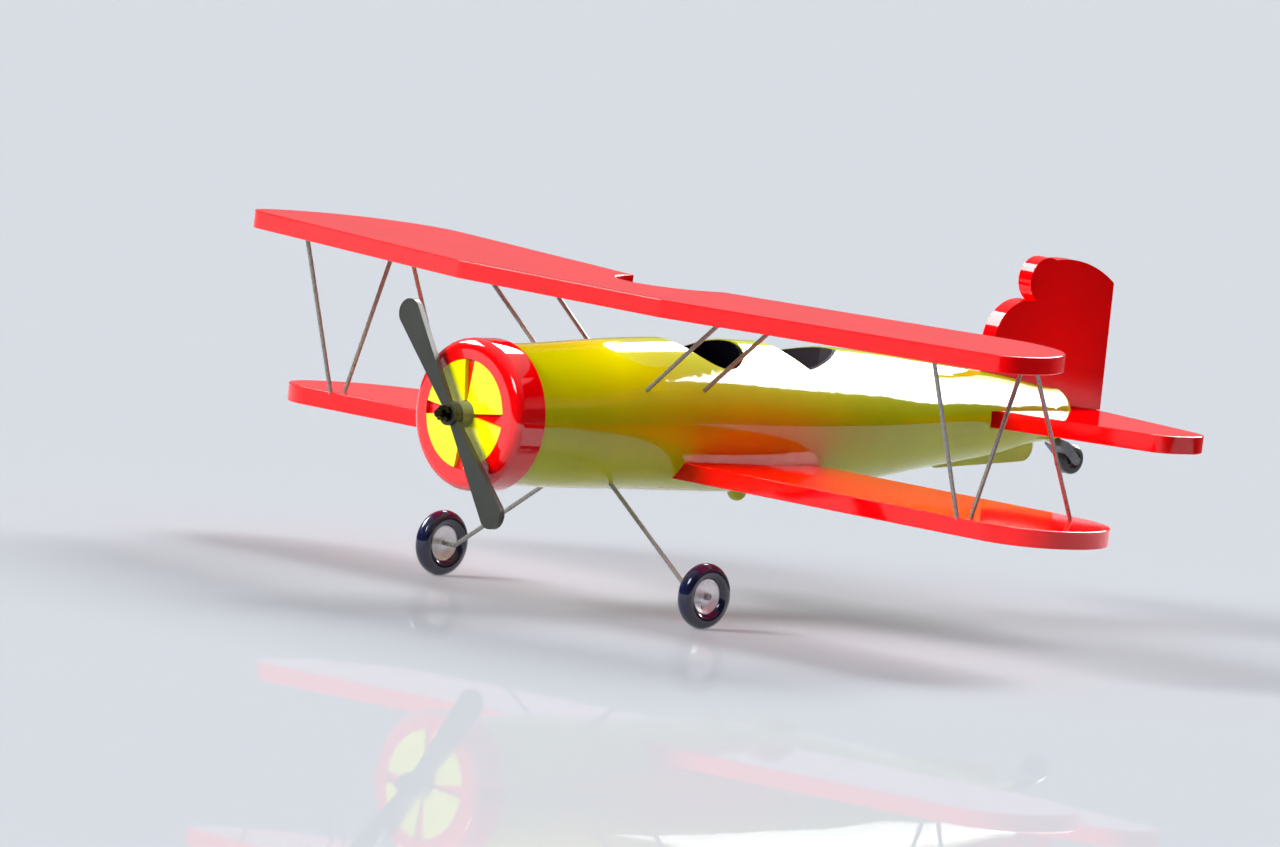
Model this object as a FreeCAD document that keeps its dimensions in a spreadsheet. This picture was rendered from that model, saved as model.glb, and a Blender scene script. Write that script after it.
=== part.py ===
import FreeCAD, Part
import math
import os
import Sketcher
from FreeCAD import Placement, Rotation, Vector

# Biplane display model with fixed interplane struts, a free-turning propeller and rolling wheels.
# +X points to the pilot's left, +Y aft and +Z up. Sketches use the airframe datum: y = 0 at the
# cowl's front face and z = 0 on the thrust line. Every placement then drops that datum to the
# row's origin, on the ground below the middle of the model's length.

doc = FreeCAD.newDocument("biplane_model")
sheet = doc.addObject("Spreadsheet::Sheet", "sheet")
size = {}

DIMENSIONS = {
    # place of the datum over the ground origin
    "mid_y": 140.8, "ground_z": 62.4,
    # cowl and its front plates
    "cowl_rad": 25.6, "cowl_length": 13.0, "cowl_face_rad": 21.8, "cowl_open_rad": 18.5,
    "cowl_inner_rad": 23.0, "bearing_back": 12.6, "cowl_round": 3.8, "web_front": 1.5, "web_back": 3.5,
    "plate_thick": 1.5, "plate_rad": 18.3, "plate_inner_rad": 4.6, "plate_half_deg": 38.0,
    # nose bearing and propeller
    "bearing_rad": 4.4, "bearing_nose": 4.4, "shaft_rad": 1.5, "shaft_hole_rad": 1.56,
    "shaft_nose": 12.7, "shaft_step": 10.6, "shaft_tip_rad": 1.3,
    "prop_front": 6.9, "prop_back": 4.7, "prop_lean_deg": -38.6,
    "prop_rad": 44.0, "blade_root_half": 1.3, "blade_tip_half": 5.0, "blade_wide_at": 39.7,
    "hub_rad": 4.0, "hub_disc_rad": 3.9, "hub_disc_thick": 1.1,
    "nut_arm": 2.5, "nut_half": 1.1, "nut_thick": 2.6,
    # fuselage skin, cockpits
    "tail_dome_y": 272.0, "tail_dome_rad": 9.3, "tail_dome_length": 7.3, "tail_dome_z": 5.7,
    "cockpit_y": 102.3, "cockpit_half_length": 15.8, "cockpit_half_width": 18.8, "cockpit_floor": 3.0,
    "seat_front": 132.5, "seat_wide_y": 141.5, "seat_back": 166.0, "seat_half_width": 17.3,
    "seat_tail_half": 3.6, "seat_floor": 3.0,
    "tub_gap": 0.3, "tub_wall": 1.0,
    # wings
    "slab": 6.0, "upper_low": 40.0, "upper_lead": 37.0, "upper_break": 49.0, "upper_half": 185.0,
    "upper_tip_lead": 66.9, "upper_tip_trail": 130.0, "upper_trail": 87.3, "cutout_y": 93.3,
    "cutout_rad": 21.7,
    "upper_nose_round": 9.0, "upper_tail_round": 43.0,
    "lower_low": -17.9, "lower_lead": 83.3, "lower_trail": 148.3, "lower_half": 185.0,
    "lower_root": 13.0, "lower_nose_round": 20.0, "lower_tail_round": 42.0, "edge_round": 0.35,
    # tail surfaces
    "tailplane_low": 1.7, "tailplane_root_lead": 230.3, "tailplane_tip_lead": 255.0,
    "tailplane_half": 74.0, "tailplane_tip_trail": 280.5, "tailplane_root_trail": 293.1,
    "tailplane_nose_round": 9.0, "tailplane_tail_round": 15.0, "fin_half": 3.0,
    "tailplane_top": 7.7, "rudder_trail": 294.3,
    # struts
    "wire_rad": 0.75, "sink": 1.5, "strut_x": 152.7, "strut_front_low": 84.3, "strut_front_top": 64.7,
    "strut_diag_low": 89.8, "strut_diag_top": 107.6, "strut_rear_low": 137.4,
    "strut_rear_top": 111.4, "strut_foot": -11.9,
    "cabane_x": 20.4, "cabane_foot": 10.6, "cabane_top_x": 58.8, "cabane_front": 61.4,
    "cabane_front_top": 58.8, "cabane_rear": 87.6, "cabane_rear_top": 85.4,
    # main gear
    "axle_y": 57.8, "axle_drop": 51.3, "wheel_x": 64.0, "leg_x": 11.0, "leg_rise": 31.5,
    "leg_bend_x": 57.5, "bend_rad": 2.4, "leg_tilt_deg": -2.8, "axle_end": 65.9,
    "tyre_ring": 8.25, "tyre_tube": 2.85, "rim_rad": 5.9, "rim_half": 1.3, "dish_rad": 5.45,
    "web_half": 0.6, "boss_rad": 1.5, "boss_half": 1.1, "wheel_bore": 0.81,
    "cap_rad": 1.1, "cap_length": 0.7,
    # tail wheel
    "tail_axle_y": 285.0, "tail_axle_z": -9.7, "tail_tyre_rad": 5.0, "tail_tyre_half": 2.6,
    "tail_rim_rad": 3.0, "tail_rim_half": 1.9, "tail_pin_rad": 0.6, "tail_bore": 0.66,
    "fork_half": 3.9, "fork_slot_half": 3.1, "fork_slot_rad": 5.6, "stem_rad": 1.3,
    "stem_y": 277.2, "stem_top_z": 3.0, "stem_foot_y": 278.6, "stem_foot_z": -4.6,
    "brace_y": 270.5, "brace_z": -2.6, "brace_foot_y": 278.6, "brace_foot_z": -5.0,
    # belly pieces
    "dome_y": 130.3, "dome_z": -23.4, "dome_rad": 3.4, "wedge_half": 3.6, "keel_half": 3.0,
}

# Fuselage stations: distance aft of the cowl face, top of the section, bottom of the section.
STATIONS = [
    (13.0, 24.0, -24.0), (33.0, 24.6, -23.7), (68.7, 27.0, -23.8), (105.0, 27.8, -23.8),
    (128.3, 27.4, -23.6), (157.0, 26.4, -21.8), (185.7, 24.8, -18.6), (208.7, 22.6, -14.7),
    (235.3, 20.0, -10.8), (251.0, 18.0, -8.0), (273.0, 15.0, -3.8),
]

# Side outlines and half sections. Each row is a corner, (aft, up) or (along, out), and a third
# entry is the mid point of an arc that runs on from that corner.
FIN_SIDE = [
    ("rudder_trail", "tailplane_top"), ("rudder_trail", 51.0, (281.0, 57.3)), (266.0, 58.2, (255.4, 54.2)),
    (258.6, 44.0, (249.0, 42.8)), (240.5, 30.5), (233.5, 16.0), (236.0, "tailplane_top"),
]
FORK_SIDE = [(-8.4, 4.6), (-8.0, 7.0), (-4.4, 6.0), (1.6, 0.6, (1.2, -1.2)), (-1.2, -1.3)]
TAIL_TYRE_SECTION = [
    ("-tail_tyre_half", "tail_rim_rad"), ("-tail_tyre_half", 4.0, (-2.2, 4.72)), (-1.4, "tail_tyre_rad"),
    (1.4, "tail_tyre_rad", (2.2, 4.72)), ("tail_tyre_half", 4.0), ("tail_tyre_half", "tail_rim_rad"),
]
TAIL_HUB_SECTION = [
    ("-tail_rim_half", "tail_bore"), ("-tail_rim_half", 1.3), (-1.0, 1.8), (-1.0, 2.3),
    ("-tail_rim_half", "tail_rim_rad"), ("tail_rim_half", "tail_rim_rad"), (1.0, 2.3), (1.0, 1.8),
    ("tail_rim_half", 1.3), ("tail_rim_half", "tail_bore"),
]
WEDGE_SIDE = [(149.5, -20.5), (149.8, -22.9), (157.0, -25.8), (166.5, -22.8), (167.0, -19.5)]
KEEL_SIDE = [(214.0, -12.6), (219.0, -13.6), (259.5, -10.6, (263.1, -8.8)), (264.0, -4.0), (216.0, -11.0)]

# Body skin just ahead of and behind each cockpit: distance aft, top and bottom.
FRONT_SKIN_AHEAD, FRONT_SKIN_BEHIND = (80.0, 27.2, -23.8), (122.0, 27.5, -23.6)
REAR_SKIN_AHEAD, REAR_SKIN_BEHIND = (126.0, 27.4, -23.6), (170.0, 25.7, -20.5)

# Flank of the rear cockpit: share of the full half width, and of the length behind it.
FLANK_WIDTH_SHARE = 0.70
FLANK_LENGTH_SHARE = 0.55


def fill_sheet():
    """Write every driving dimension to a cell of the sheet under its own alias."""
    for row, (distance, top, low) in enumerate(STATIONS):
        letter = chr(97 + row)
        DIMENSIONS["station_%s_y" % letter] = distance
        DIMENSIONS["station_%s_top" % letter] = top
        DIMENSIONS["station_%s_low" % letter] = low
    for row, (alias, distance) in enumerate(DIMENSIONS.items(), start=1):
        cell = "B%d" % row
        sheet.set("A%d" % row, alias)
        sheet.set(cell, "%.4f" % distance)
        sheet.setAlias(cell, alias)
        size[alias] = distance
    doc.recompute()


def value(term):
    """Number behind a term: a plain number, an alias, or an alias with a minus sign."""
    if not isinstance(term, str):
        return float(term)
    if term.startswith("-"):
        return -size[term[1:]]
    return size[term]


def formula(term):
    """The same term as a sheet formula."""
    if not isinstance(term, str):
        return "%.4f" % term
    if term.startswith("-"):
        return "-sheet.%s" % term[1:]
    return "sheet.%s" % term


def seat(obj, x=0.0, y=0.0, z=0.0, rotation=None):
    """Put an object's local origin at a point of the airframe datum, by formula."""
    base = Vector(value(x), value(y) - size["mid_y"], value(z) + size["ground_z"])
    obj.Placement = Placement(base, rotation or Rotation())
    obj.setExpression("Placement.Base.x", formula(x))
    obj.setExpression("Placement.Base.y", "%s - sheet.mid_y" % formula(y))
    obj.setExpression("Placement.Base.z", "%s + sheet.ground_z" % formula(z))
    return obj


def new_body(name, x=0.0, y=0.0, z=0.0, rotation=None):
    body = doc.addObject("PartDesign::Body", name)
    body.Label = name
    return seat(body, x, y, z, rotation)


def plane(body, role):
    return next(item for item in body.Origin.OriginFeatures if item.Role == role)


def new_sketch(body, role, name, lift=None):
    """Sketch on one of the body's own origin planes, lifted along the plane's normal."""
    sketch = body.newObject("Sketcher::SketchObject", name)
    sketch.AttachmentSupport = [(plane(body, role), "")]
    sketch.MapMode = "FlatFace"
    if lift is not None:
        sketch.setExpression("AttachmentOffset.Base.z", lift)
    return sketch


def pin(sketch, index, end, point):
    """Fix one end of a sketch element at a point whose coordinates come from the sheet."""
    axes = (("DistanceX", -2), ("DistanceY", -1))
    for term, (kind, axis) in zip(point, axes):
        if value(term) == 0:
            sketch.addConstraint(Sketcher.Constraint("PointOnObject", index, end, axis))
            continue
        row = sketch.addConstraint(Sketcher.Constraint(kind, -1, 1, index, end, value(term)))
        if isinstance(term, str):
            sketch.setExpression("Constraints[%d]" % row, formula(term))


def outline(sketch, points):
    """Closed chain of straight edges through points. A third entry makes the edge that leaves
    the point an arc through that middle point."""
    count = len(points)
    first = sketch.GeometryCount
    for row, point in enumerate(points):
        here = Vector(value(point[0]), value(point[1]), 0)
        after = points[(row + 1) % count]
        there = Vector(value(after[0]), value(after[1]), 0)
        if len(point) == 2:
            index = sketch.addGeometry(Part.LineSegment(here, there), False)
            pin(sketch, index, 1, point[:2])
            pin(sketch, index, 2, after[:2])
            continue
        middle = Vector(value(point[2][0]), value(point[2][1]), 0)
        arc = Part.Arc(here, middle, there)
        curve = arc.toShape().Curve
        index = sketch.addGeometry(arc, False)
        begin_is_here = (sketch.getPoint(index, 1) - here).Length < 1e-6
        pin(sketch, index, 1, point[:2] if begin_is_here else after[:2])
        pin(sketch, index, 2, after[:2] if begin_is_here else point[:2])
        sketch.addConstraint(Sketcher.Constraint("Radius", index, curve.Radius))
    return range(first, first + count)


def circle(sketch, x, y, radius):
    """Circle from the sheet. The radius is an alias or a whole formula."""
    plain = size[radius] if radius in size else 1.0
    middle = Vector(value(x), value(y), 0)
    index = sketch.addGeometry(Part.Circle(middle, Vector(0, 0, 1), plain), False)
    pin(sketch, index, 3, (x, y))
    row = sketch.addConstraint(Sketcher.Constraint("Radius", index, plain))
    sketch.setExpression("Constraints[%d]" % row, formula(radius))


def add_pad(body, sketch, length, both_ways=False):
    feature = body.newObject("PartDesign::Pad", body.Name + "_pad")
    feature.Profile = sketch
    feature.Midplane = both_ways
    feature.setExpression("Length", length)
    doc.recompute()
    return feature


def add_pocket(body, sketch, length, both_ways=False, flipped=False):
    """Pocket that has to remove material."""
    before = body.Shape.Volume
    feature = body.newObject("PartDesign::Pocket", body.Name + "_pocket")
    feature.Profile = sketch
    feature.Midplane = both_ways
    feature.Reversed = flipped
    feature.setExpression("Length", length)
    doc.recompute()
    if body.Shape.Volume >= before:
        raise RuntimeError("pocket cuts nothing in " + body.Label)
    return feature


def add_turned(body, sketch, axis, kind="Revolution"):
    feature = body.newObject("PartDesign::" + kind, body.Name + "_turned")
    feature.Profile = sketch
    feature.ReferenceAxis = (sketch, [axis])
    feature.Angle = 360
    doc.recompute()
    return feature


def edges_where(shape, test):
    return ["Edge%d" % (row + 1) for row, edge in enumerate(shape.Edges) if test(edge)]


def add_fillet(body, names, radius):
    base = body.Tip
    feature = body.newObject("PartDesign::Fillet", body.Name + "_round")
    feature.Base = (base, names)
    feature.setExpression("Radius", radius)
    doc.recompute()
    return feature


def round_corners(body, corners, radius):
    """Round the slab's upright corner edges that stand at the given plan points."""
    def stands_at_corner(edge):
        middle = edge.BoundBox.Center
        upright = edge.BoundBox.ZLength > size["slab"] * 0.9
        return upright and any(math.hypot(middle.x - x, middle.y - y) < 0.5 for x, y in corners)
    shift = body.Placement.Base
    corners = [(x + shift.x, y + shift.y) for x, y in corners]
    add_fillet(body, edges_where(body.Shape, stands_at_corner), radius)


def soften_rims(body):
    """Break the sharp rims of a flat slab all round, first on top and then underneath."""
    for top in (True, False):
        box = body.Shape.BoundBox
        height = box.ZMax if top else box.ZMin

        def lies_in_face(edge):
            return edge.BoundBox.ZLength < 1e-4 and abs(edge.BoundBox.Center.z - height) < 1e-4
        add_fillet(body, edges_where(body.Shape, lies_in_face), "sheet.edge_round")


def rod(name, start, end, radius):
    """Round rod between two points of the airframe datum."""
    obj = doc.addObject("Part::Cylinder", name)
    obj.Label = name
    first = Vector(*[value(term) for term in start])
    last = Vector(*[value(term) for term in end])
    obj.setExpression("Radius", "sheet." + radius)
    spans = ["(%s - (%s))^2" % (formula(b), formula(a)) for a, b in zip(start, end)]
    obj.setExpression("Height", "sqrt(%s)" % " + ".join(spans))
    turn = Rotation(Vector(0, 0, 1), last - first)
    return seat(obj, start[0], start[1], start[2], turn)


def mirrored(term, side):
    """Term for the port side (1) or its mirror image for the starboard side (-1)."""
    if side > 0:
        return term
    return term[1:] if term.startswith("-") else "-" + term


def make_fuselage():
    body = new_body("fuselage")
    rings = []
    for row in range(len(STATIONS)):
        letter = chr(97 + row)
        ring = new_sketch(body, "XZ_Plane", "ring_" + letter, "-sheet.station_%s_y" % letter)
        top = size["station_%s_top" % letter]
        low = size["station_%s_low" % letter]
        shape = Part.Circle(Vector(0, (top + low) / 2, 0), Vector(0, 0, 1), (top - low) / 2)
        index = ring.addGeometry(shape, False)
        ring.addConstraint(Sketcher.Constraint("PointOnObject", index, 3, -2))
        height = ring.addConstraint(Sketcher.Constraint("DistanceY", -1, 1, index, 3, 1.0))
        radius = ring.addConstraint(Sketcher.Constraint("Radius", index, (top - low) / 2))
        aliases = (letter, letter)
        if top + low == 0:
            ring.setDatum(height, 0.0)
        ring.setExpression("Constraints[%d]" % height,
                           "(sheet.station_%s_top + sheet.station_%s_low) / 2" % aliases)
        ring.setExpression("Constraints[%d]" % radius,
                           "(sheet.station_%s_top - sheet.station_%s_low) / 2" % aliases)
        rings.append(ring)
    loft = body.newObject("PartDesign::AdditiveLoft", "skin")
    loft.Profile = rings[0]
    loft.Sections = rings[1:]
    doc.recompute()
    dome = body.newObject("PartDesign::AdditiveEllipsoid", "tail_dome")
    dome.AttachmentSupport = [(plane(body, "XY_Plane"), "")]
    dome.MapMode = "FlatFace"
    dome.setExpression("AttachmentOffset.Base.y", "sheet.tail_dome_y")
    dome.setExpression("AttachmentOffset.Base.z", "sheet.tail_dome_z")
    dome.setExpression("Radius1", "sheet.tail_dome_rad")
    dome.setExpression("Radius2", "sheet.tail_dome_rad")
    dome.setExpression("Radius3", "sheet.tail_dome_length")
    doc.recompute()
    front = new_sketch(body, "XY_Plane", "front_opening", "sheet.cockpit_floor")
    draw_oval(front, "cockpit_y", "cockpit_half_width", "cockpit_half_length", 0)
    add_pocket(body, front, "40", flipped=True)
    rear = new_sketch(body, "XY_Plane", "rear_opening", "sheet.seat_floor")
    draw_shield(rear, 0)
    add_pocket(body, rear, "40", flipped=True)
    slot = new_sketch(body, "YZ_Plane", "wing_slot")
    low = "lower_low"
    draw_slot(slot, "lower_lead", "lower_trail", low)
    wing_slot = add_pocket(body, slot, "60", both_ways=True)
    wing_slot.Label = "wing_slot_cut"
    tail_slot = new_sketch(body, "YZ_Plane", "tailplane_slot")
    draw_slot(tail_slot, "tailplane_root_lead", "rudder_trail", "tailplane_low")
    add_pocket(body, tail_slot, "60", both_ways=True)
    return body


def draw_slot(sketch, front, back, low):
    """Rectangle that takes a slab: from its front edge to its back edge, one slab high."""
    y_front = size[front]
    y_back = size[back]
    z_low = size[low]
    z_top = z_low + size["slab"]
    corners = [Vector(y_front, z_low, 0), Vector(y_back, z_low, 0),
               Vector(y_back, z_top, 0), Vector(y_front, z_top, 0)]
    for row in range(4):
        sketch.addGeometry(Part.LineSegment(corners[row], corners[(row + 1) % 4]), False)
        sketch.addConstraint(Sketcher.Constraint("Horizontal" if row % 2 == 0 else "Vertical", row))
    for row in range(4):
        sketch.addConstraint(Sketcher.Constraint("Coincident", row, 2, (row + 1) % 4, 1))
    pin(sketch, 0, 1, (front, low))
    pin_x = sketch.addConstraint(Sketcher.Constraint("DistanceX", -1, 1, 2, 1, y_back))
    sketch.setExpression("Constraints[%d]" % pin_x, "sheet." + back)
    high = sketch.addConstraint(Sketcher.Constraint("DistanceY", 1, 1, 1, 2, size["slab"]))
    sketch.setExpression("Constraints[%d]" % high, "sheet.slab")


def draw_oval(sketch, y, half_width, half_length, inset):
    """Cockpit oval, wider than it is long, inset from the opening by a few tenths."""
    centre = Vector(0, size[y], 0)
    major = Vector(size[half_width] - inset, size[y], 0)
    minor = Vector(0, size[y] + size[half_length] - inset, 0)
    sketch.addGeometry(Part.Ellipse(major, minor, centre), False)
    sketch.addConstraint(Sketcher.Constraint("Block", 0))


def draw_shield(sketch, inset):
    """Rear cockpit outline: a rounded front, its full width close behind, a narrow back."""
    wide = size["seat_half_width"] - inset
    tail = size["seat_tail_half"] - inset / 2
    shoulder = size["seat_wide_y"]
    front = size["seat_front"] + inset
    back = size["seat_back"] - inset
    flank_x = wide * FLANK_WIDTH_SHARE
    flank_y = shoulder + FLANK_LENGTH_SHARE * (back - shoulder)
    bow = Part.Arc(Vector(-wide, shoulder, 0), Vector(0, front, 0), Vector(wide, shoulder, 0))
    port = Part.Arc(Vector(wide, shoulder, 0), Vector(flank_x, flank_y, 0), Vector(tail, back, 0))
    star = Part.Arc(Vector(-tail, back, 0), Vector(-flank_x, flank_y, 0), Vector(-wide, shoulder, 0))
    for curve in (bow, port, Part.LineSegment(Vector(tail, back, 0), Vector(-tail, back, 0)), star):
        index = sketch.addGeometry(curve, False)
        sketch.addConstraint(Sketcher.Constraint("Block", index))


def make_tub(name, draw, floor, skin_front, skin_back):
    """Open cup that lines a cockpit, trimmed on top to lie just under the fuselage skin."""
    gap = size["tub_gap"]
    wall = size["tub_wall"]
    body = new_body(name)
    outer = new_sketch(body, "XY_Plane", name + "_outer", "sheet." + floor)
    draw(outer, gap)
    add_pad(body, outer, "32")
    inner = new_sketch(body, "XY_Plane", name + "_inner", "sheet.%s + sheet.tub_wall" % floor)
    draw(inner, gap + wall)
    add_pocket(body, inner, "40", flipped=True)
    trim = new_sketch(body, "YZ_Plane", name + "_trim")
    y_front, top_front, low_front = skin_front
    y_back, top_back, low_back = skin_back
    outside = 45.0
    corners = [(y_front, top_front - gap), (y_back, top_back - gap), (y_back, outside), (y_front, outside)]
    for row in range(4):
        start = Vector(corners[row][0], corners[row][1], 0)
        end = Vector(corners[(row + 1) % 4][0], corners[(row + 1) % 4][1], 0)
        index = trim.addGeometry(Part.LineSegment(start, end), False)
        trim.addConstraint(Sketcher.Constraint("Block", index))
    mid = (top_front + low_front) / 2
    mid_back = (top_back + low_back) / 2
    axis = trim.addGeometry(Part.LineSegment(Vector(y_front, mid, 0), Vector(y_back, mid_back, 0)), True)
    trim.addConstraint(Sketcher.Constraint("Block", axis))
    add_turned(body, trim, "Axis0", "Groove")
    return body


def make_cowl():
    ring = new_body("cowl_ring")
    profile = new_sketch(ring, "YZ_Plane", "cowl_profile")
    outline(profile, [
        (0.0, "cowl_open_rad"), (0.0, "cowl_face_rad", (1.113, 24.487)), ("cowl_round", "cowl_rad"),
        ("cowl_length", "cowl_rad"), ("cowl_length", "cowl_inner_rad"),
        ("web_back", "cowl_inner_rad"), ("web_back", "cowl_open_rad"),
    ])
    add_turned(ring, profile, "H_Axis")
    web = new_body("cowl_web")
    disc = new_sketch(web, "XZ_Plane", "web_disc", "-sheet.web_front")
    circle(disc, 0.0, 0.0, "cowl_open_rad")
    circle(disc, 0.0, 0.0, "bearing_rad")
    add_pad(web, disc, "sheet.web_back - sheet.web_front").Reversed = True
    half = math.radians(size["plate_half_deg"])
    inner = size["plate_inner_rad"]
    outer = size["plate_rad"]
    for quarter in range(4):
        plate = new_body("baffle_%d" % (quarter + 1), rotation=Rotation(Vector(0, 1, 0), 45 + 90 * quarter))
        face = new_sketch(plate, "XZ_Plane", "baffle_face_%d" % quarter)
        left = Vector(-math.sin(half), math.cos(half), 0)
        right = Vector(math.sin(half), math.cos(half), 0)
        top = Vector(0, 1, 0)
        for curve in (Part.LineSegment(left * inner, left * outer),
                      Part.Arc(left * outer, top * outer, right * outer),
                      Part.LineSegment(right * outer, right * inner),
                      Part.Arc(right * inner, top * inner, left * inner)):
            index = face.addGeometry(curve, False)
            face.addConstraint(Sketcher.Constraint("Block", index))
        add_pad(plate, face, "sheet.plate_thick").Reversed = True
    bearing = new_body("nose_bearing")
    stock = new_sketch(bearing, "YZ_Plane", "bearing_profile")
    outline(stock, [("-bearing_nose", "shaft_hole_rad"), ("-bearing_nose", "bearing_rad"),
                    ("bearing_back", "bearing_rad"), ("bearing_back", "shaft_hole_rad")])
    add_turned(bearing, stock, "H_Axis")


def make_propeller():
    shaft = new_body("prop_shaft")
    stock = new_sketch(shaft, "YZ_Plane", "shaft_profile")
    outline(stock, [("-shaft_nose", 0.0), ("-shaft_nose", "shaft_tip_rad"), ("-shaft_step", "shaft_tip_rad"),
                    ("-shaft_step", "shaft_rad"), ("bearing_back", "shaft_rad"), ("bearing_back", 0.0)])
    add_turned(shaft, stock, "H_Axis")
    lean = Rotation(Vector(0, 1, 0), size["prop_lean_deg"])
    blades = new_body("propeller", rotation=lean)
    lift = "sheet.prop_back"
    face = new_sketch(blades, "XZ_Plane", "blade_face", lift)
    reach = size["prop_rad"]
    outline(face, [
        ("-blade_tip_half", "blade_wide_at", (0.0, reach)), ("blade_tip_half", "blade_wide_at"),
        ("blade_root_half", 0.0),
        ("blade_tip_half", "-blade_wide_at", (0.0, -reach)), ("-blade_tip_half", "-blade_wide_at"),
        ("-blade_root_half", 0.0),
    ])
    add_pad(blades, face, "sheet.prop_front - sheet.prop_back")
    boss = new_sketch(blades, "XZ_Plane", "boss_face", lift)
    circle(boss, 0.0, 0.0, "hub_rad")
    add_pad(blades, boss, "sheet.prop_front - sheet.prop_back")
    hole = new_sketch(blades, "XZ_Plane", "shaft_hole", lift)
    circle(hole, 0.0, 0.0, "shaft_rad")
    add_pocket(blades, hole, "sheet.prop_front - sheet.prop_back", flipped=True)

    disc = new_body("prop_hub_disc")
    disc_face = new_sketch(disc, "XZ_Plane", "disc_face", "sheet.prop_front")
    circle(disc_face, 0.0, 0.0, "hub_disc_rad")
    circle(disc_face, 0.0, 0.0, "shaft_rad")
    add_pad(disc, disc_face, "sheet.hub_disc_thick")

    nut = new_body("prop_nut", rotation=lean)
    nut_face = new_sketch(nut, "XZ_Plane", "nut_face", "sheet.prop_front + sheet.hub_disc_thick")
    arm = "nut_arm"
    half = "nut_half"
    outline(nut_face, [("-" + half, "-" + arm), (half, "-" + arm), (half, "-" + half), (arm, "-" + half),
                       (arm, half), (half, half), (half, arm), ("-" + half, arm),
                       ("-" + half, half), ("-" + arm, half), ("-" + arm, "-" + half), ("-" + half, "-" + half)])
    add_pad(nut, nut_face, "sheet.nut_thick")
    nut_hole = new_sketch(nut, "XZ_Plane", "nut_hole", "sheet.prop_front + sheet.hub_disc_thick")
    circle(nut_hole, 0.0, 0.0, "shaft_rad")
    add_pocket(nut, nut_hole, "sheet.nut_thick", flipped=True)


def make_wings():
    wing = new_body("upper_wing")
    plan = new_sketch(wing, "XY_Plane", "upper_plan", "sheet.upper_low")
    outline(plan, [
        ("upper_break", "upper_lead"), ("upper_half", "upper_tip_lead"), ("upper_half", "upper_tip_trail"),
        (0.0, "upper_trail"), ("-upper_half", "upper_tip_trail"), ("-upper_half", "upper_tip_lead"),
        ("-upper_break", "upper_lead"),
    ])
    add_pad(wing, plan, "sheet.slab")
    notch = new_sketch(wing, "XY_Plane", "notch", "sheet.upper_low")
    circle(notch, 0.0, "cutout_y", "cutout_rad")
    add_pocket(wing, notch, "sheet.slab", flipped=True)
    half = size["upper_half"]
    round_corners(wing, [(side * half, size["upper_tip_trail"]) for side in (1, -1)], "sheet.upper_tail_round")
    round_corners(wing, [(side * half, size["upper_tip_lead"]) for side in (1, -1)], "sheet.upper_nose_round")
    soften_rims(wing)
    for side, word in ((1, "port"), (-1, "starboard")):
        lower = new_body("lower_wing_" + word)
        plan = new_sketch(lower, "XY_Plane", "lower_plan_" + word, "sheet.lower_low")
        root = mirrored("lower_root", side)
        tip = mirrored("lower_half", side)
        outline(plan, [(root, "lower_lead"), (tip, "lower_lead"), (tip, "lower_trail"), (root, "lower_trail")])
        add_pad(lower, plan, "sheet.slab")
        reach = side * size["lower_half"]
        round_corners(lower, [(reach, size["lower_trail"])], "sheet.lower_tail_round")
        round_corners(lower, [(reach, size["lower_lead"])], "sheet.lower_nose_round")
        soften_rims(lower)


def make_tail():
    plane_body = new_body("tailplane")
    plan = new_sketch(plane_body, "XY_Plane", "tailplane_plan", "sheet.tailplane_low")
    outline(plan, [
        (0.0, "tailplane_root_lead"), ("tailplane_half", "tailplane_tip_lead"),
        ("tailplane_half", "tailplane_tip_trail"), (0.0, "tailplane_root_trail"),
        ("-tailplane_half", "tailplane_tip_trail"), ("-tailplane_half", "tailplane_tip_lead"),
    ])
    add_pad(plane_body, plan, "sheet.slab")
    half = size["tailplane_half"]
    round_corners(plane_body, [(side * half, size["tailplane_tip_trail"]) for side in (1, -1)],
                  "sheet.tailplane_tail_round")
    round_corners(plane_body, [(side * half, size["tailplane_tip_lead"]) for side in (1, -1)],
                  "sheet.tailplane_nose_round")
    soften_rims(plane_body)
    fin = new_body("fin_rudder")
    side_view = new_sketch(fin, "YZ_Plane", "fin_side")
    outline(side_view, FIN_SIDE)
    add_pad(fin, side_view, "2 * sheet.fin_half", both_ways=True)
    return fin


def make_struts():
    for side, word in ((1, "port"), (-1, "starboard")):
        x = mirrored("strut_x", side)
        foot = "strut_foot_sunk"
        top = "upper_low_sunk"
        rod("strut_front_" + word, (x, "strut_front_low", foot), (x, "strut_front_top", top), "wire_rad")
        rod("strut_diagonal_" + word, (x, "strut_diag_low", foot), (x, "strut_diag_top", top), "wire_rad")
        rod("strut_rear_" + word, (x, "strut_rear_low", foot), (x, "strut_rear_top", top), "wire_rad")
        inner = mirrored("cabane_x", side)
        outer = mirrored("cabane_top_x", side)
        rod("cabane_front_" + word, (inner, "cabane_front", "cabane_foot"),
            (outer, "cabane_front_top", top), "wire_rad")
        rod("cabane_rear_" + word, (inner, "cabane_rear", "cabane_foot"),
            (outer, "cabane_rear_top", top), "wire_rad")


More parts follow.
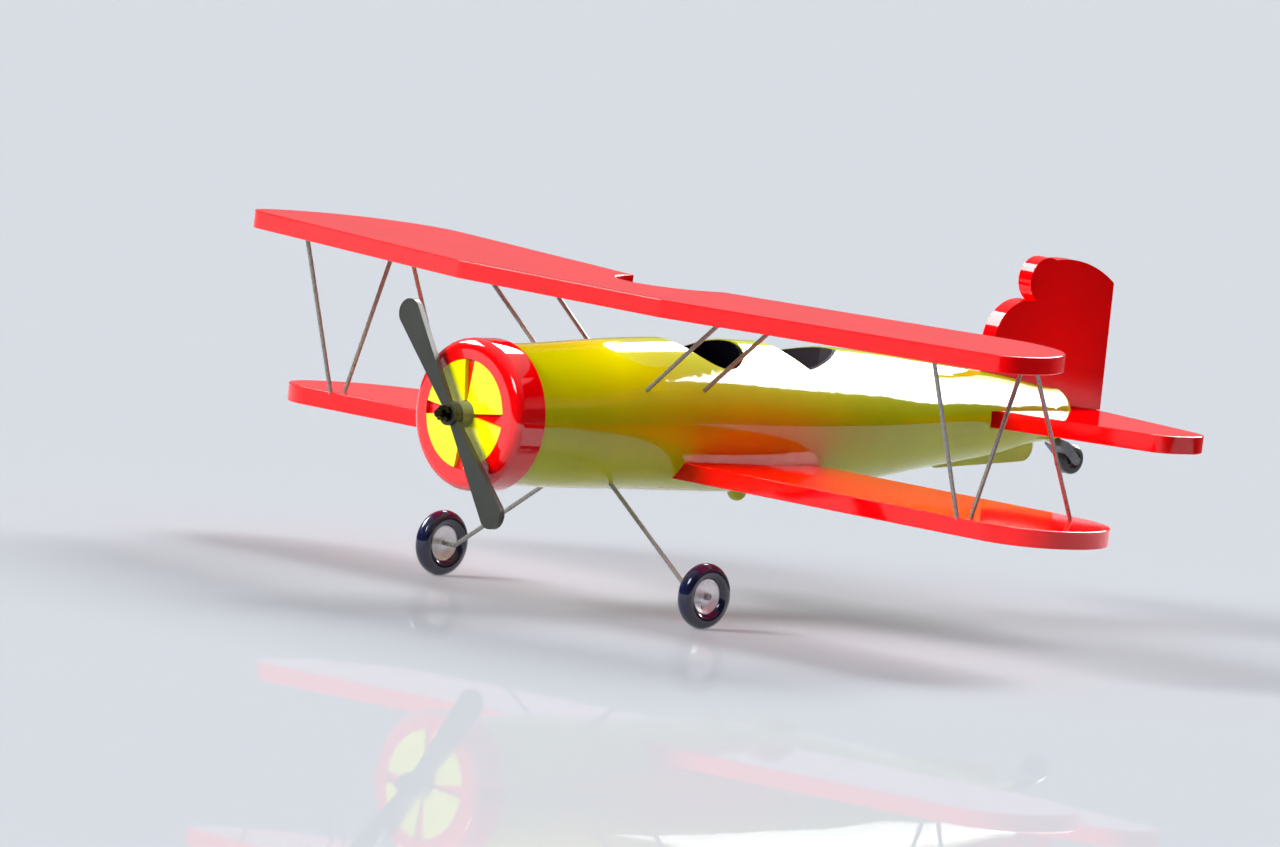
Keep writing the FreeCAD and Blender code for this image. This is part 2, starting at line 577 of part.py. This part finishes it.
def make_gear():
    tilt = Rotation(Vector(1, 0, 0), size["leg_tilt_deg"])
    for side, word in ((1, "port"), (-1, "starboard")):
        leg = new_body("gear_leg_" + word, 0.0, "axle_y", "-axle_drop", tilt)
        start = Vector(side * size["leg_x"], size["leg_rise"], 0)
        corner = Vector(side * size["leg_bend_x"], 0, 0)
        end = Vector(side * size["axle_end"], 0, 0)
        slope = (start - corner).normalize()
        along = (end - corner).normalize()
        half_turn = (math.pi - slope.getAngle(along)) / 2
        reach = size["bend_rad"] * math.tan(half_turn)
        middle = corner + (slope + along).normalize() * size["bend_rad"] * (1 / math.cos(half_turn) - 1)
        path = new_sketch(leg, "XZ_Plane", "leg_path_" + word)
        for curve in (Part.LineSegment(start, corner + slope * reach),
                      Part.Arc(corner + slope * reach, middle, corner + along * reach),
                      Part.LineSegment(corner + along * reach, end)):
            index = path.addGeometry(curve, False)
            path.addConstraint(Sketcher.Constraint("Block", index))
        section = new_sketch(leg, "YZ_Plane", "leg_section_" + word,
                             "sheet.axle_end" if side > 0 else "-sheet.axle_end")
        circle(section, 0.0, 0.0, "wire_rad")
        sweep = leg.newObject("PartDesign::AdditivePipe", "leg_wire_" + word)
        sweep.Profile = section
        sweep.Spine = (path, [])
        doc.recompute()

        tyre = new_body("tyre_" + word, mirrored("wheel_x", side), "axle_y", "-axle_drop")
        tube = new_sketch(tyre, "XY_Plane", "tyre_section_" + word)
        circle(tube, 0.0, "tyre_ring", "tyre_tube")
        add_turned(tyre, tube, "H_Axis")
        seat_cut = new_sketch(tyre, "YZ_Plane", "rim_seat_" + word)
        circle(seat_cut, 0.0, 0.0, "rim_rad")
        add_pocket(tyre, seat_cut, "20", both_ways=True)

        hub = new_body("hub_" + word, mirrored("wheel_x", side), "axle_y", "-axle_drop")
        section = new_sketch(hub, "XY_Plane", "hub_section_" + word)
        outline(section, [
            ("-rim_half", "rim_rad"), ("-rim_half", "dish_rad", (-0.74, 3.6)), ("-web_half", "boss_rad"),
            ("-boss_half", "boss_rad"), ("-boss_half", "wheel_bore"), ("boss_half", "wheel_bore"),
            ("boss_half", "boss_rad"), ("web_half", "boss_rad", (0.74, 3.6)),
            ("rim_half", "dish_rad"), ("rim_half", "rim_rad"),
        ])
        add_turned(hub, section, "H_Axis")

        cap = new_body("axle_cap_" + word, mirrored("axle_end", side), "axle_y", "-axle_drop")
        cap_face = new_sketch(cap, "YZ_Plane", "cap_face_" + word)
        circle(cap_face, 0.0, 0.0, "cap_rad")
        add_pad(cap, cap_face, "2 * sheet.cap_length", both_ways=True)
        bore = new_sketch(cap, "YZ_Plane", "cap_bore_" + word)
        circle(bore, 0.0, 0.0, "wire_rad")
        add_pocket(cap, bore, "sheet.cap_length", flipped=(side < 0))


def make_tail_wheel():
    stem_top = (0.0, "stem_y", "stem_top_z")
    rod("tail_stem", stem_top, (0.0, "stem_foot_y", "stem_foot_z"), "stem_rad")
    rod("tail_brace", (0.0, "brace_y", "brace_z"), (0.0, "brace_foot_y", "brace_foot_z"), "wire_rad")
    fork = new_body("tail_fork", 0.0, "tail_axle_y", "tail_axle_z")
    side_view = new_sketch(fork, "YZ_Plane", "fork_side")
    outline(side_view, FORK_SIDE)
    add_pad(fork, side_view, "2 * sheet.fork_half", both_ways=True)
    slot = new_sketch(fork, "YZ_Plane", "fork_slot")
    circle(slot, 0.0, 0.0, "fork_slot_rad")
    add_pocket(fork, slot, "2 * sheet.fork_slot_half", both_ways=True)
    hole = new_sketch(fork, "YZ_Plane", "fork_hole")
    circle(hole, 0.0, 0.0, "tail_pin_rad")
    add_pocket(fork, hole, "20", both_ways=True)

    axle = doc.addObject("Part::Cylinder", "tail_axle")
    axle.Label = "tail_axle"
    axle.setExpression("Radius", "sheet.tail_pin_rad")
    axle.setExpression("Height", "2 * sheet.fork_half")
    seat(axle, "-fork_half", "tail_axle_y", "tail_axle_z", Rotation(Vector(0, 0, 1), Vector(1, 0, 0)))

    tyre = new_body("tail_tyre", 0.0, "tail_axle_y", "tail_axle_z")
    section = new_sketch(tyre, "XY_Plane", "tail_tyre_section")
    outline(section, TAIL_TYRE_SECTION)
    add_turned(tyre, section, "H_Axis")
    hub = new_body("tail_hub", 0.0, "tail_axle_y", "tail_axle_z")
    section = new_sketch(hub, "XY_Plane", "tail_hub_section")
    outline(section, TAIL_HUB_SECTION)
    add_turned(hub, section, "H_Axis")


def make_belly():
    dome = doc.addObject("Part::Sphere", "belly_dome")
    dome.Label = "belly_dome"
    dome.setExpression("Radius", "sheet.dome_rad")
    seat(dome, 0.0, "dome_y", "dome_z")
    wedge = new_body("belly_wedge")
    side_view = new_sketch(wedge, "YZ_Plane", "wedge_side")
    outline(side_view, WEDGE_SIDE)
    add_pad(wedge, side_view, "2 * sheet.wedge_half", both_ways=True)
    keel = new_body("tail_keel")
    side_view = new_sketch(keel, "YZ_Plane", "keel_side")
    outline(side_view, KEEL_SIDE)
    add_pad(keel, side_view, "2 * sheet.keel_half", both_ways=True)


DIMENSIONS["strut_foot_sunk"] = DIMENSIONS["strut_foot"] - DIMENSIONS["sink"]
DIMENSIONS["upper_low_sunk"] = DIMENSIONS["upper_low"] + DIMENSIONS["sink"]
fill_sheet()
make_fuselage()
make_tub("front_cockpit_tub",
         lambda sketch, inset: draw_oval(sketch, "cockpit_y", "cockpit_half_width", "cockpit_half_length", inset),
         "cockpit_floor", FRONT_SKIN_AHEAD, FRONT_SKIN_BEHIND)
make_tub("rear_cockpit_tub", draw_shield, "seat_floor", REAR_SKIN_AHEAD, REAR_SKIN_BEHIND)
make_cowl()
make_propeller()
make_wings()
make_tail()
make_struts()
make_gear()
make_tail_wheel()
make_belly()
doc.recompute()

PIECES = [obj for obj in doc.Objects if obj.TypeId == "PartDesign::Body" or obj.TypeId.startswith("Part::")]
for obj in doc.Objects:
    if "Invalid" in obj.State or "Error" in obj.State:
        raise RuntimeError("failed feature: " + obj.Label)
for piece in PIECES:
    if piece.Shape.isNull() or not piece.Shape.isValid() or len(piece.Shape.Solids) != 1:
        raise RuntimeError("bad shape: " + piece.Label)
os.makedirs("parts", exist_ok=True)
for piece in PIECES:
    piece.Shape.exportStep("parts/%s.step" % piece.Label)
print(len(PIECES), "pieces")
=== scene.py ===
import math

import bpy
from mathutils import Matrix, Vector

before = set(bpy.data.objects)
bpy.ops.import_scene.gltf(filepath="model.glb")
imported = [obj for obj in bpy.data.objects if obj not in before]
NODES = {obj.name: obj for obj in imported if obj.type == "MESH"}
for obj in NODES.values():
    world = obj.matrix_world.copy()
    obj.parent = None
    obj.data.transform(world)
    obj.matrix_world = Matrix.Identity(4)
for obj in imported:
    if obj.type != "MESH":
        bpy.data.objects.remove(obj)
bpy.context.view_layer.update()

# Biplane display model: glossy red slab wings, a yellow body of revolution, wire struts and wheels.
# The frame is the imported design: +X to the pilot's left, +Y aft, +Z up, metres.

DATUM = Vector((0.0, -0.1408, 0.0624))


def srgb(red, green, blue):
    """Linear colour from 0-255 display values."""
    def channel(value):
        value /= 255.0
        return value / 12.92 if value <= 0.04045 else ((value + 0.055) / 1.055) ** 2.4
    return (channel(red), channel(green), channel(blue), 1.0)


# ---------------------------------------------------------------- materials

# Noise scales in features per metre, and the middle stretch of the noise that is put to use.
DRIFT_SCALE = 35.0
MOTTLE_SCALE = 90.0
PEEL_SCALE = 420.0
DUST_SCALE = 900.0
NOISE_LOW, NOISE_HIGH = 0.3, 0.7

def new_material(name):
    material = bpy.data.materials.new(name)
    material.use_nodes = True
    tree = material.node_tree
    tree.nodes.clear()
    output = tree.nodes.new("ShaderNodeOutputMaterial")
    shader = tree.nodes.new("ShaderNodeBsdfPrincipled")
    tree.links.new(shader.outputs["BSDF"], output.inputs["Surface"])
    return material, tree, shader


def noise(tree, scale, detail=3.0, stretch=(1.0, 1.0, 1.0)):
    """Object-space noise, stretched along the axes."""
    coordinates = tree.nodes.new("ShaderNodeTexCoord")
    mapping = tree.nodes.new("ShaderNodeMapping")
    mapping.inputs["Scale"].default_value = stretch
    texture = tree.nodes.new("ShaderNodeTexNoise")
    texture.inputs["Scale"].default_value = scale
    texture.inputs["Detail"].default_value = detail
    tree.links.new(coordinates.outputs["Object"], mapping.inputs["Vector"])
    tree.links.new(mapping.outputs["Vector"], texture.inputs["Vector"])
    return texture.outputs["Fac"]


def blend_colours(tree, factor, first, second, low=0.35, high=0.65):
    ramp = tree.nodes.new("ShaderNodeValToRGB")
    ramp.color_ramp.elements[0].position = low
    ramp.color_ramp.elements[0].color = first
    ramp.color_ramp.elements[1].position = high
    ramp.color_ramp.elements[1].color = second
    tree.links.new(factor, ramp.inputs["Fac"])
    return ramp.outputs["Color"]


def spread(tree, factor, low, high):
    """Map noise onto a range of plain numbers, such as roughness."""
    ranged = tree.nodes.new("ShaderNodeMapRange")
    ranged.inputs["From Min"].default_value = NOISE_LOW
    ranged.inputs["From Max"].default_value = NOISE_HIGH
    ranged.inputs["To Min"].default_value = low
    ranged.inputs["To Max"].default_value = high
    tree.links.new(factor, ranged.inputs["Value"])
    return ranged.outputs["Result"]


def add_bump(tree, shader, height, strength, distance):
    bump = tree.nodes.new("ShaderNodeBump")
    bump.inputs["Strength"].default_value = strength
    bump.inputs["Distance"].default_value = distance
    tree.links.new(height, bump.inputs["Height"])
    tree.links.new(bump.outputs["Normal"], shader.inputs["Normal"])


def shade_by(colour, factor):
    return tuple(max(0.0, min(1.0, part * factor)) for part in colour[:3]) + (1.0,)


def lacquer(name, colour, rough=0.05, coat=1.0, variation=0.05, ripple=0.02, specular=0.5):
    """Sprayed gloss lacquer: slight drift of shade, orange peel, fine dust in the finish."""
    material, tree, shader = new_material(name)
    drift = noise(tree, DRIFT_SCALE, 4.0)
    tint = blend_colours(tree, drift, shade_by(colour, 1 - variation), shade_by(colour, 1 + variation))
    tree.links.new(tint, shader.inputs["Base Color"])
    dust = noise(tree, DUST_SCALE, 2.0)
    tree.links.new(spread(tree, dust, rough * 0.7, rough * 1.3), shader.inputs["Roughness"])
    peel = noise(tree, PEEL_SCALE, 2.0)
    add_bump(tree, shader, peel, ripple, 0.0002)
    shader.inputs["Coat Weight"].default_value = coat
    shader.inputs["Coat Roughness"].default_value = 0.02
    shader.inputs["Specular IOR Level"].default_value = specular
    return material


def metal(name, colour, rough, stretch=(1.0, 1.0, 1.0), grain=600.0, strength=0.06,
          metallic=1.0):
    """Drawn or turned metal with its grain along one axis."""
    material, tree, shader = new_material(name)
    scratches = noise(tree, grain, 3.0, stretch)
    tint = blend_colours(tree, scratches, shade_by(colour, 0.90), shade_by(colour, 1.05))
    tree.links.new(tint, shader.inputs["Base Color"])
    tree.links.new(spread(tree, scratches, rough * 0.7, rough * 1.4), shader.inputs["Roughness"])
    add_bump(tree, shader, scratches, strength, 0.0001)
    shader.inputs["Metallic"].default_value = metallic
    return material


def moulded(name, colour, rough, variation=0.12, grain=1400.0, strength=0.10, coat=0.0):
    """Moulded plastic or rubber with a fine grain."""
    material, tree, shader = new_material(name)
    mottle = noise(tree, MOTTLE_SCALE, 4.0)
    tint = blend_colours(tree, mottle, shade_by(colour, 1 - variation), shade_by(colour, 1 + variation))
    tree.links.new(tint, shader.inputs["Base Color"])
    tree.links.new(spread(tree, mottle, rough * 0.85, rough * 1.15), shader.inputs["Roughness"])
    add_bump(tree, shader, noise(tree, grain, 2.0), strength, 0.0001)
    shader.inputs["Coat Weight"].default_value = coat
    shader.inputs["Coat Roughness"].default_value = 0.05
    return material


RED = lacquer("red_lacquer", srgb(232, 0, 4), coat=0.0)
COWL_RED = lacquer("red_lacquer_cowl", srgb(224, 0, 4))
YELLOW = lacquer("yellow_lacquer", srgb(176, 184, 0), rough=0.06, coat=0.15)
PLATE = lacquer("plate_yellow", srgb(226, 226, 10), rough=0.12, coat=0.6)
WIRE = metal("drawn_wire", srgb(142, 144, 137), 0.30, (1.0, 1.0, 0.08), grain=2600.0,
             strength=0.03, metallic=0.55)
HUB = metal("polished_hub", srgb(240, 242, 246), 0.34, grain=300.0, strength=0.02,
            metallic=0.75)
BLADE = moulded("blade_grey", srgb(46, 48, 42), 0.42, coat=0.10)
OLIVE = moulded("bearing_olive", srgb(112, 116, 84), 0.4)
DARK = metal("dark_nut", srgb(38, 38, 38), 0.3)
TYRE = moulded("tyre_rubber", srgb(16, 20, 50), 0.16, coat=1.0, strength=0.01)
TAIL_RUBBER = moulded("tail_rubber", srgb(36, 36, 38), 0.35, coat=0.4)
TAIL_HUB = moulded("tail_hub_plastic", srgb(40, 40, 44), 0.25, coat=0.6)
FORK = metal("fork_metal", srgb(120, 120, 122), 0.35)
NAVY = lacquer("cockpit_navy", srgb(2, 3, 10), rough=0.9, coat=0.0, specular=0.02)
GREY = lacquer("cockpit_grey", srgb(60, 56, 62), rough=0.9, coat=0.0, variation=0.10, specular=0.04)

FINISH = {
    "fuselage": YELLOW, "belly_dome": YELLOW, "belly_wedge": YELLOW, "tail_keel": YELLOW,
    "front_cockpit_tub": NAVY, "rear_cockpit_tub": GREY,
    "cowl_ring": COWL_RED, "cowl_web": COWL_RED, "upper_wing": RED, "lower_wing_port": RED,
    "lower_wing_starboard": RED, "tailplane": RED, "fin_rudder": RED,
    "nose_bearing": OLIVE, "prop_shaft": DARK, "prop_nut": DARK, "prop_hub_disc": BLADE,
    "propeller": BLADE, "tail_fork": FORK, "tail_tyre": TAIL_RUBBER, "tail_hub": TAIL_HUB,
    "tail_stem": FORK, "tail_brace": HUB, "tail_axle": WIRE,
}
PREFIX_FINISH = (
    ("baffle_", PLATE), ("strut_", WIRE), ("cabane_", WIRE), ("gear_leg_", WIRE),
    ("axle_cap_", WIRE), ("tyre_", TYRE), ("hub_", HUB),
)


def finish_of(name):
    if name in FINISH:
        return FINISH[name]
    return next(material for prefix, material in PREFIX_FINISH if name.startswith(prefix))


def dress_nodes():
    """Give every design node its finish."""
    for name, node in NODES.items():
        node.data.materials.clear()
        node.data.materials.append(finish_of(name))


dress_nodes()


# ---------------------------------------------------------------- stage

VIEW_AZIMUTH = math.radians(45.76)
VIEW_ELEVATION = math.radians(4.88)
VIEW_ROLL = math.radians(6.29)
FLOOR_TINT = (0.291, 0.304, 0.327, 1.0)
FLOOR_SHEEN = 0.20
BACKDROP = (0.69, 0.72, 0.77, 1.0)
FLOOR_NEAR_LOW = -4.0
FLOOR_NEAR_HIGH = 0.80
FLOOR_FAR = 30.0
LENS = 1050.0
SENSOR = 36.0
FRAME_WIDTH = 0.42667
AIM_RIGHT = 0.05857
AIM_UP = -0.00317
CARD_DISTANCE = 1.5
MODEL_MIDDLE = Vector((0.0, 0.0, 0.06))

# Suns: name, direction towards the light, strength, spread in degrees, casts a shadow.
SUNS = (
    ("front_sun", (-0.20, -0.85, 0.50), 4.4, 24.0, True),
    ("aft_sun", (-0.25, 0.82, 0.52), 6.5, 24.0, True),
    ("top_fill", (0.0, 0.0, 1.0), 2.4, 4.0, False),
)
# Reflection cards around the model: name, direction, width and height, radiance.
CARDS = (
    ("deck_card", (-0.42, 0.60, 0.68), (0.36, 0.22), 18.0),
    ("front_card", (0.42, -0.63, 0.57), (0.45, 0.40), 10.0),
    ("far_card", (-0.71, -0.32, 0.62), (0.80, 0.50), 14.0),
)
# The long card behind the tail, which draws the white band along the body.
AFT_CARD_PLACE = (-0.19, 1.275, 0.855)
AFT_CARD_FACING = (0.0, 0.85, 0.53)
AFT_CARD_SIZE = (1.82, 0.80)
AFT_CARD_RADIANCE = 20.0
# Walls: the direction they brighten in, then where the dark ends and the pale begins, and each colour.
WALL_BRIGHT_TOWARDS = (-0.30, 0.35, 0.90)
WALL_DARK_END, WALL_PALE_START = 0.20, 0.90
WALL_DARK = (0.030, 0.031, 0.033, 1.0)
WALL_PALE = (0.45, 0.46, 0.48, 1.0)


def make_camera():
    """Long lens three-quarter view from ahead and to port, rolled a few degrees."""
    sin_a, cos_a = math.sin(VIEW_AZIMUTH), math.cos(VIEW_AZIMUTH)
    sin_e, cos_e = math.sin(VIEW_ELEVATION), math.cos(VIEW_ELEVATION)
    level = Vector((cos_a, sin_a, 0.0))
    upright = Vector((-sin_a * sin_e, cos_a * sin_e, cos_e))
    back = Vector((sin_a * cos_e, -cos_a * cos_e, sin_e))
    right = level * math.cos(VIEW_ROLL) + upright * math.sin(VIEW_ROLL)
    up = upright * math.cos(VIEW_ROLL) - level * math.sin(VIEW_ROLL)
    aim = DATUM + right * AIM_RIGHT + up * AIM_UP
    distance = FRAME_WIDTH * LENS / SENSOR
    camera = bpy.data.objects.new("camera", bpy.data.cameras.new("camera"))
    camera.data.lens = LENS
    camera.data.sensor_width = SENSOR
    camera.data.clip_start = 0.1
    camera.data.clip_end = 100.0
    turn = Matrix((right, up, back)).transposed().to_4x4()
    camera.matrix_world = Matrix.Translation(aim + back * distance) @ turn
    bpy.context.scene.collection.objects.link(camera)
    bpy.context.scene.camera = camera


make_camera()


def floor_material():
    """Pale matt floor whose weak, clear sheen is seen directly but not in the lacquer."""
    material = bpy.data.materials.new("pale_floor")
    material.use_nodes = True
    tree = material.node_tree
    tree.nodes.clear()
    output = tree.nodes.new("ShaderNodeOutputMaterial")
    matt = tree.nodes.new("ShaderNodeBsdfDiffuse")
    matt.inputs["Color"].default_value = FLOOR_TINT
    sheen = tree.nodes.new("ShaderNodeBsdfGlossy")
    sheen.inputs["Roughness"].default_value = 0.01
    mix = tree.nodes.new("ShaderNodeMixShader")
    rays = tree.nodes.new("ShaderNodeLightPath")
    share = tree.nodes.new("ShaderNodeMath")
    share.operation = "MULTIPLY"
    share.inputs[1].default_value = FLOOR_SHEEN
    tree.links.new(rays.outputs["Is Camera Ray"], share.inputs[0])
    tree.links.new(share.outputs["Value"], mix.inputs["Fac"])
    tree.links.new(matt.outputs["BSDF"], mix.inputs[1])
    tree.links.new(sheen.outputs["BSDF"], mix.inputs[2])
    tree.links.new(mix.outputs["Shader"], output.inputs["Surface"])
    return material


def make_floor():
    """A near sheet that the lacquer reflects, and a far one around it that it does not."""
    low, high, far = FLOOR_NEAR_LOW, FLOOR_NEAR_HIGH, FLOOR_FAR
    inner = [(low, low, 0.0), (high, low, 0.0), (high, high, 0.0), (low, high, 0.0)]
    outer = [(-far, -far, 0.0), (far, -far, 0.0), (far, far, 0.0), (-far, far, 0.0)]
    ring = [(i, (i + 1) % 4, 4 + (i + 1) % 4, 4 + i) for i in range(4)]
    sheets = (("floor_near", inner, [(0, 1, 2, 3)], True), ("floor_far", outer + inner, ring, False))
    material = floor_material()
    for name, corners, faces, reflected in sheets:
        mesh = bpy.data.meshes.new(name)
        mesh.from_pydata(corners, [], faces)
        mesh.materials.append(material)
        sheet = bpy.data.objects.new(name, mesh)
        sheet.visible_glossy = reflected
        bpy.context.scene.collection.objects.link(sheet)


def area_light(name, place, target, size, power):
    data = bpy.data.lights.new(name, "AREA")
    data.shape = "RECTANGLE"
    data.size, data.size_y = size
    data.energy = power
    lamp = bpy.data.objects.new(name, data)
    lamp.location = place
    lamp.rotation_mode = "QUATERNION"
    lamp.rotation_quaternion = (Vector(place) - Vector(target)).to_track_quat("Z", "Y")
    bpy.context.scene.collection.objects.link(lamp)
    return lamp


def add_sun(name, direction, strength, spread_deg, shadow):
    """Broad even light for the matt share of every surface. It draws no highlight of its own."""
    data = bpy.data.lights.new(name, "SUN")
    data.energy = strength
    data.angle = math.radians(spread_deg)
    data.use_shadow = shadow
    lamp = bpy.data.objects.new(name, data)
    lamp.rotation_mode = "QUATERNION"
    lamp.rotation_quaternion = Vector(direction).to_track_quat("Z", "Y")
    lamp.visible_glossy = False
    bpy.context.scene.collection.objects.link(lamp)


def add_card(name, place, facing, size, radiance):
    """Softbox that only shows in reflections, as on a lacquered surface in a studio."""
    place, facing = Vector(place), Vector(facing)
    lamp = area_light(name, place, place - facing, size, radiance * math.pi * size[0] * size[1])
    lamp.data.cycles.max_bounces = 0
    lamp.visible_diffuse = False


def card_towards(name, direction, size, radiance):
    """Softbox at the card distance in the given direction, turned to face the model."""
    outward = Vector(direction).normalized()
    add_card(name, MODEL_MIDDLE + outward * CARD_DISTANCE, outward, size, radiance)


def make_world():
    """Studio walls: dark beside the camera, paler overhead, and a plain backdrop seen directly."""
    world = bpy.data.worlds.new("studio")
    bpy.context.scene.world = world
    world.use_nodes = True
    tree = world.node_tree
    tree.nodes.clear()
    output = tree.nodes.new("ShaderNodeOutputWorld")
    background = tree.nodes.new("ShaderNodeBackground")
    coordinates = tree.nodes.new("ShaderNodeTexCoord")
    facing = tree.nodes.new("ShaderNodeVectorMath")
    facing.operation = "DOT_PRODUCT"
    facing.inputs[1].default_value = Vector(WALL_BRIGHT_TOWARDS).normalized()
    ramp = tree.nodes.new("ShaderNodeValToRGB")
    ramp.color_ramp.elements[0].position = WALL_DARK_END
    ramp.color_ramp.elements[0].color = WALL_DARK
    ramp.color_ramp.elements[1].position = WALL_PALE_START
    ramp.color_ramp.elements[1].color = WALL_PALE
    tree.links.new(coordinates.outputs["Generated"], facing.inputs[0])
    tree.links.new(facing.outputs["Value"], ramp.inputs["Fac"])
    backdrop = tree.nodes.new("ShaderNodeBackground")
    backdrop.inputs["Color"].default_value = BACKDROP
    rays = tree.nodes.new("ShaderNodeLightPath")
    mix = tree.nodes.new("ShaderNodeMixShader")
    tree.links.new(ramp.outputs["Color"], background.inputs["Color"])
    tree.links.new(rays.outputs["Is Camera Ray"], mix.inputs["Fac"])
    tree.links.new(background.outputs["Background"], mix.inputs[1])
    tree.links.new(backdrop.outputs["Background"], mix.inputs[2])
    tree.links.new(mix.outputs["Shader"], output.inputs["Surface"])


def make_lights():
    make_world()
    for name, direction, strength, spread_deg, shadow in SUNS:
        add_sun(name, direction, strength, spread_deg, shadow)
    add_card("aft_card", AFT_CARD_PLACE, AFT_CARD_FACING, AFT_CARD_SIZE, AFT_CARD_RADIANCE)
    for name, direction, size, radiance in CARDS:
        card_towards(name, direction, size, radiance)


make_floor()
make_lights()
bpy.context.scene.view_settings.view_transform = "Standard"
